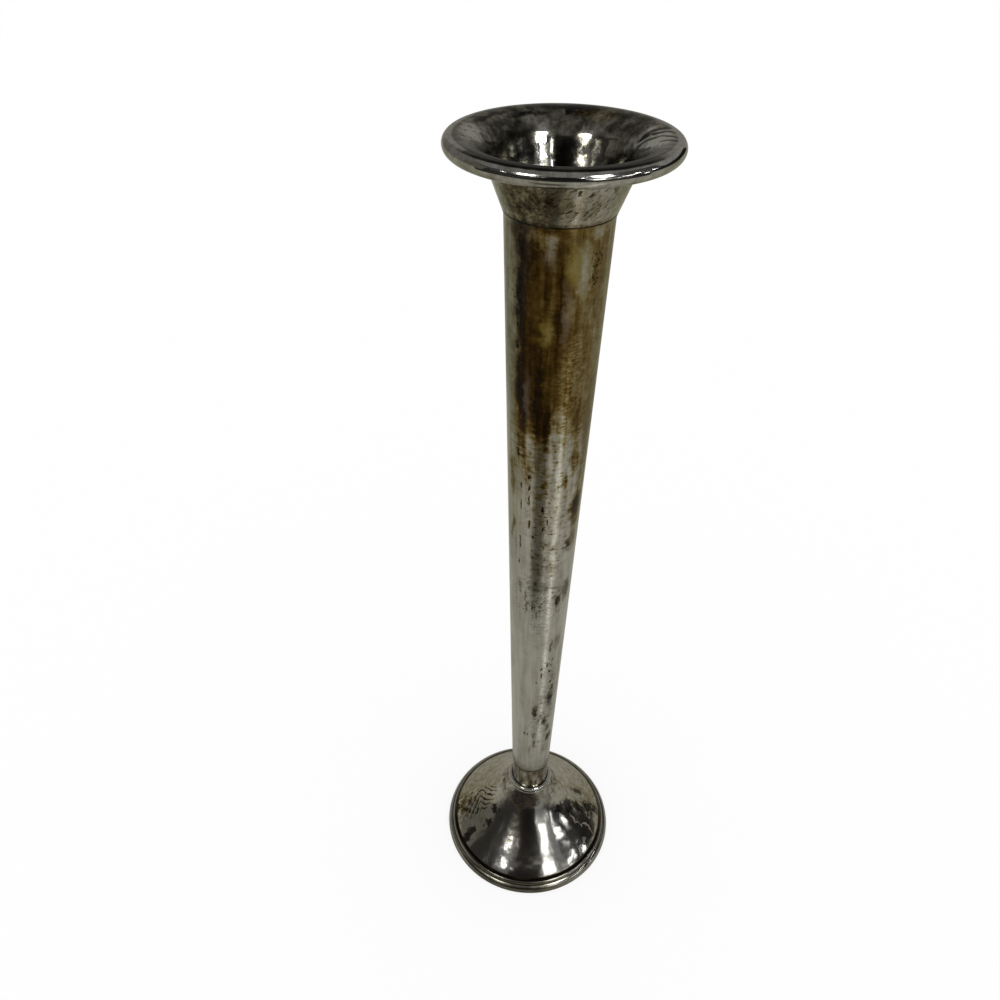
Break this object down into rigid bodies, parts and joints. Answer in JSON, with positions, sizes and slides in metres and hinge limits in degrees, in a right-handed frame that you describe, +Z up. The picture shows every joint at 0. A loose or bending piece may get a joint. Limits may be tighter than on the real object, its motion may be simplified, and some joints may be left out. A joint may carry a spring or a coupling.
{
  "type": "trumpet vase",
  "caption": "Slender trumpet bud vase: tapered silver tube with a flared rolled-rim mouth, standing on a weighted domed foot.",
  "frame": {"origin": "centre of the foot on the plane the vase stands on", "axes": "+Z up the axis of the tube; the vase is round, so X and Y are free, and the picture looks from -Y"},
  "size_m": [0.0736, 0.0736, 0.305],
  "materials": {
    "mouth_silver": "polished silver, unevenly tarnished",
    "tube_silver": "polished silver, browned by tarnish near the top",
    "inner_silver": "dull tarnished silver",
    "collar_silver": "tarnished silver",
    "bead_silver": "polished silver",
    "foot_silver": "polished silver, unevenly tarnished",
    "border_silver": "polished silver",
    "filling": "cast cement, matt",
    "rod_iron": "drawn iron rod, dull",
    "plate_silver": "thin pressed plate, lightly scuffed"
  },
  "bodies": {
    "root": {"mouth_flare": "mouth_silver", "stem_tube": "tube_silver", "tube_floor": "inner_silver", "neck_collar": "collar_silver", "collar_bead": "bead_silver", "foot_shell": "foot_silver", "foot_border": "border_silver", "foot_weight": "filling", "stem_rod": "rod_iron", "bottom_plate": "plate_silver"}
  },
  "joints": []
}
